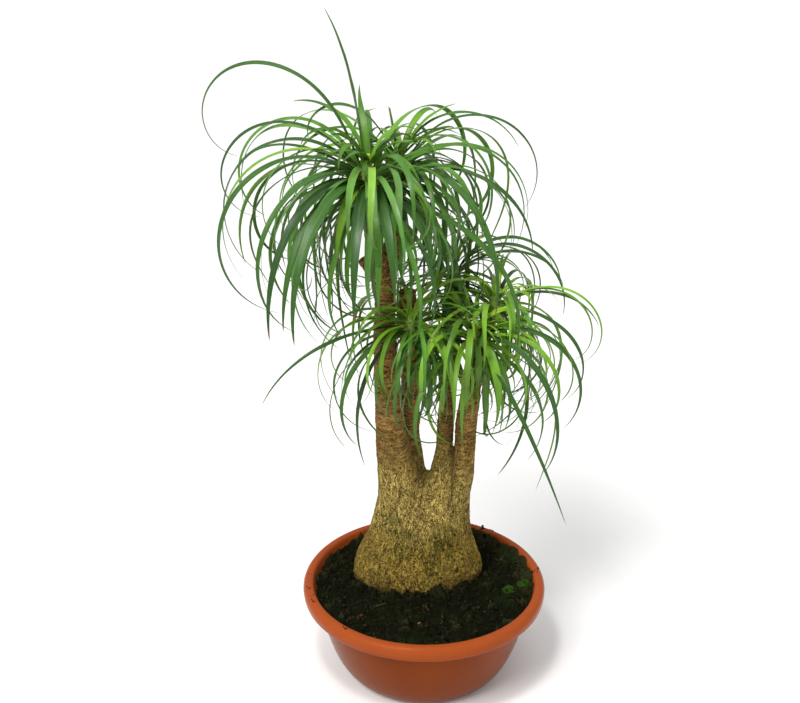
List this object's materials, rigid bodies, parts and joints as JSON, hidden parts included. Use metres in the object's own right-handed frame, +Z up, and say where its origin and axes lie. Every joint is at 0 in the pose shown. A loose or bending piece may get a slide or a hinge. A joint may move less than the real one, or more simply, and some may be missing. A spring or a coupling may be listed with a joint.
{
  "type": "potted ponytail palm",
  "caption": "Ponytail palm with a swollen corky base, branching stems and heads of arching strap leaves, planted in soil in a shallow round rimmed bowl.",
  "frame": {"origin": "middle of the flat underside of the bowl, on the ground", "axes": "+Z up, -Y towards the front as pictured, +X to the right as seen from the front"},
  "size_m": [0.6648, 0.5007, 1.2203],
  "materials": {
    "bowl": "satin terracotta-coloured plastic",
    "soil": "dark moist peat with bark chips and rootlets",
    "bark": "corky fissured bark, ringed with leaf scars on the stems",
    "leaf": "smooth waxy green leaf",
    "young_leaf": "smooth lime-green young leaf"
  },
  "bodies": {
    "root": {"bowl": "bowl", "soil": "soil", "trunk": "bark", "left_crown_leaves": "leaf", "left_crown_shoot": "young_leaf", "right_crown_leaves": "leaf", "right_crown_shoot": "young_leaf", "front_left_head_leaves": "leaf", "front_left_head_shoot": "young_leaf", "back_head_leaves": "leaf", "back_head_shoot": "young_leaf", "front_right_head_leaves": "leaf", "front_right_head_shoot": "young_leaf", "right_head_leaves": "leaf", "right_head_shoot": "young_leaf", "side_shoot_leaves": "leaf", "side_shoot_shoot": "young_leaf"}
  },
  "joints": []
}
